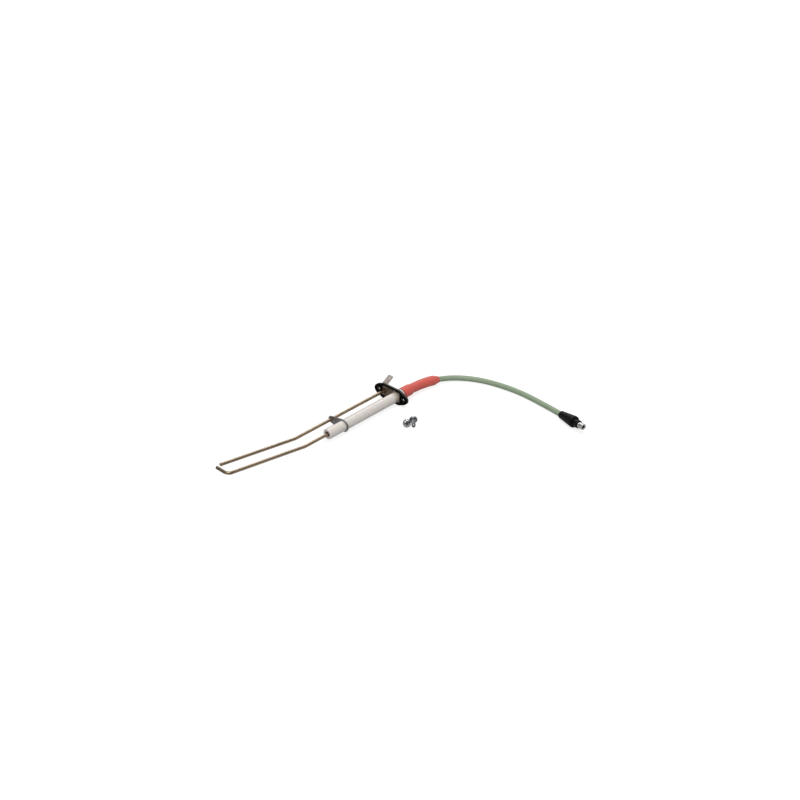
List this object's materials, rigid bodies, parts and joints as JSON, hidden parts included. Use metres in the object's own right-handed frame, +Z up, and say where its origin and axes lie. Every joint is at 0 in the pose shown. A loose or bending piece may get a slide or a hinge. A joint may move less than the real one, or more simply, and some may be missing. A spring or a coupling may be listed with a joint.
{
  "type": "ignition electrode",
  "caption": "Burner ignition electrode: flange and gasket, white ceramic, two bent rods, red silicone boot, green ignition lead with a black plug, and two fixing screws",
  "frame": {"origin": "middle of the flange plate's lower edge, half way between the screw holes and half way through the plate; the flat surface the electrode lies on is z = 0", "axes": "+X along the electrode from the flange towards the spark gap, +Y from the earth rod towards the ignition rod, +Z up"},
  "size_m": [0.3044, 0.189, 0.0236],
  "materials": {
    "plate_steel": "heat-tinted brown-grey sheet, green-grey at the cut edge",
    "gasket_black": "matt black, fine grained",
    "glazed_body": "off-white, soft gloss",
    "grey_cement": "matt, fired",
    "brown_cement": "matt, rough",
    "rod_wire": "drawn heat-resisting wire with a tan oxide tint",
    "contact_brass": "plain turned",
    "clip_steel": "dull grey sheet",
    "tab_steel": "pale tinned sheet with a slight pink cast",
    "red_silicone": "satin moulded",
    "conductor": "tinned copper strands",
    "green_jacket": "satin sage green silicone",
    "black_rubber": "satin moulded",
    "black_plastic": "satin",
    "bright_plate": "nickel plated, polished",
    "bright_zinc": "bright zinc plate"
  },
  "bodies": {
    "electrode": {"flange_plate": "plate_steel", "flange_gasket": "gasket_black", "ceramic_insulator": "glazed_body", "ceramic_bond_ring": "grey_cement", "front_cement_plug": "brown_cement", "rear_cement_plug": "brown_cement", "ignition_rod": "rod_wire", "pin_sleeve": "contact_brass", "earth_rod": "rod_wire", "rod_support_clip": "clip_steel", "earth_tab": "tab_steel", "tab_rivet": "tab_steel"},
    "hv_lead": {"insulator_boot": "red_silicone", "pin_socket": "contact_brass", "front_conductor": "conductor", "lead_cable": "green_jacket", "rear_conductor": "conductor", "plug_boot": "black_rubber", "plug_collar": "black_plastic", "plug_contact": "bright_plate", "contact_spring": "contact_brass"},
    "screw_1": {"screw_1": "bright_zinc"},
    "screw_2": {"screw_2": "bright_zinc"}
  },
  "joints": [
    {"name": "lead_pull_off", "type": "slide", "parent": "electrode", "child": "hv_lead", "axis": [-1, 0, 0], "range_m": [0, 0.024]},
    {"name": "screw_1_lift", "type": "slide", "parent": "electrode", "child": "screw_1", "axis": [0, 0, 1], "range_m": [0, 0.03]},
    {"name": "screw_2_lift", "type": "slide", "parent": "electrode", "child": "screw_2", "axis": [0, 0, 1], "range_m": [0, 0.03]}
  ]
}
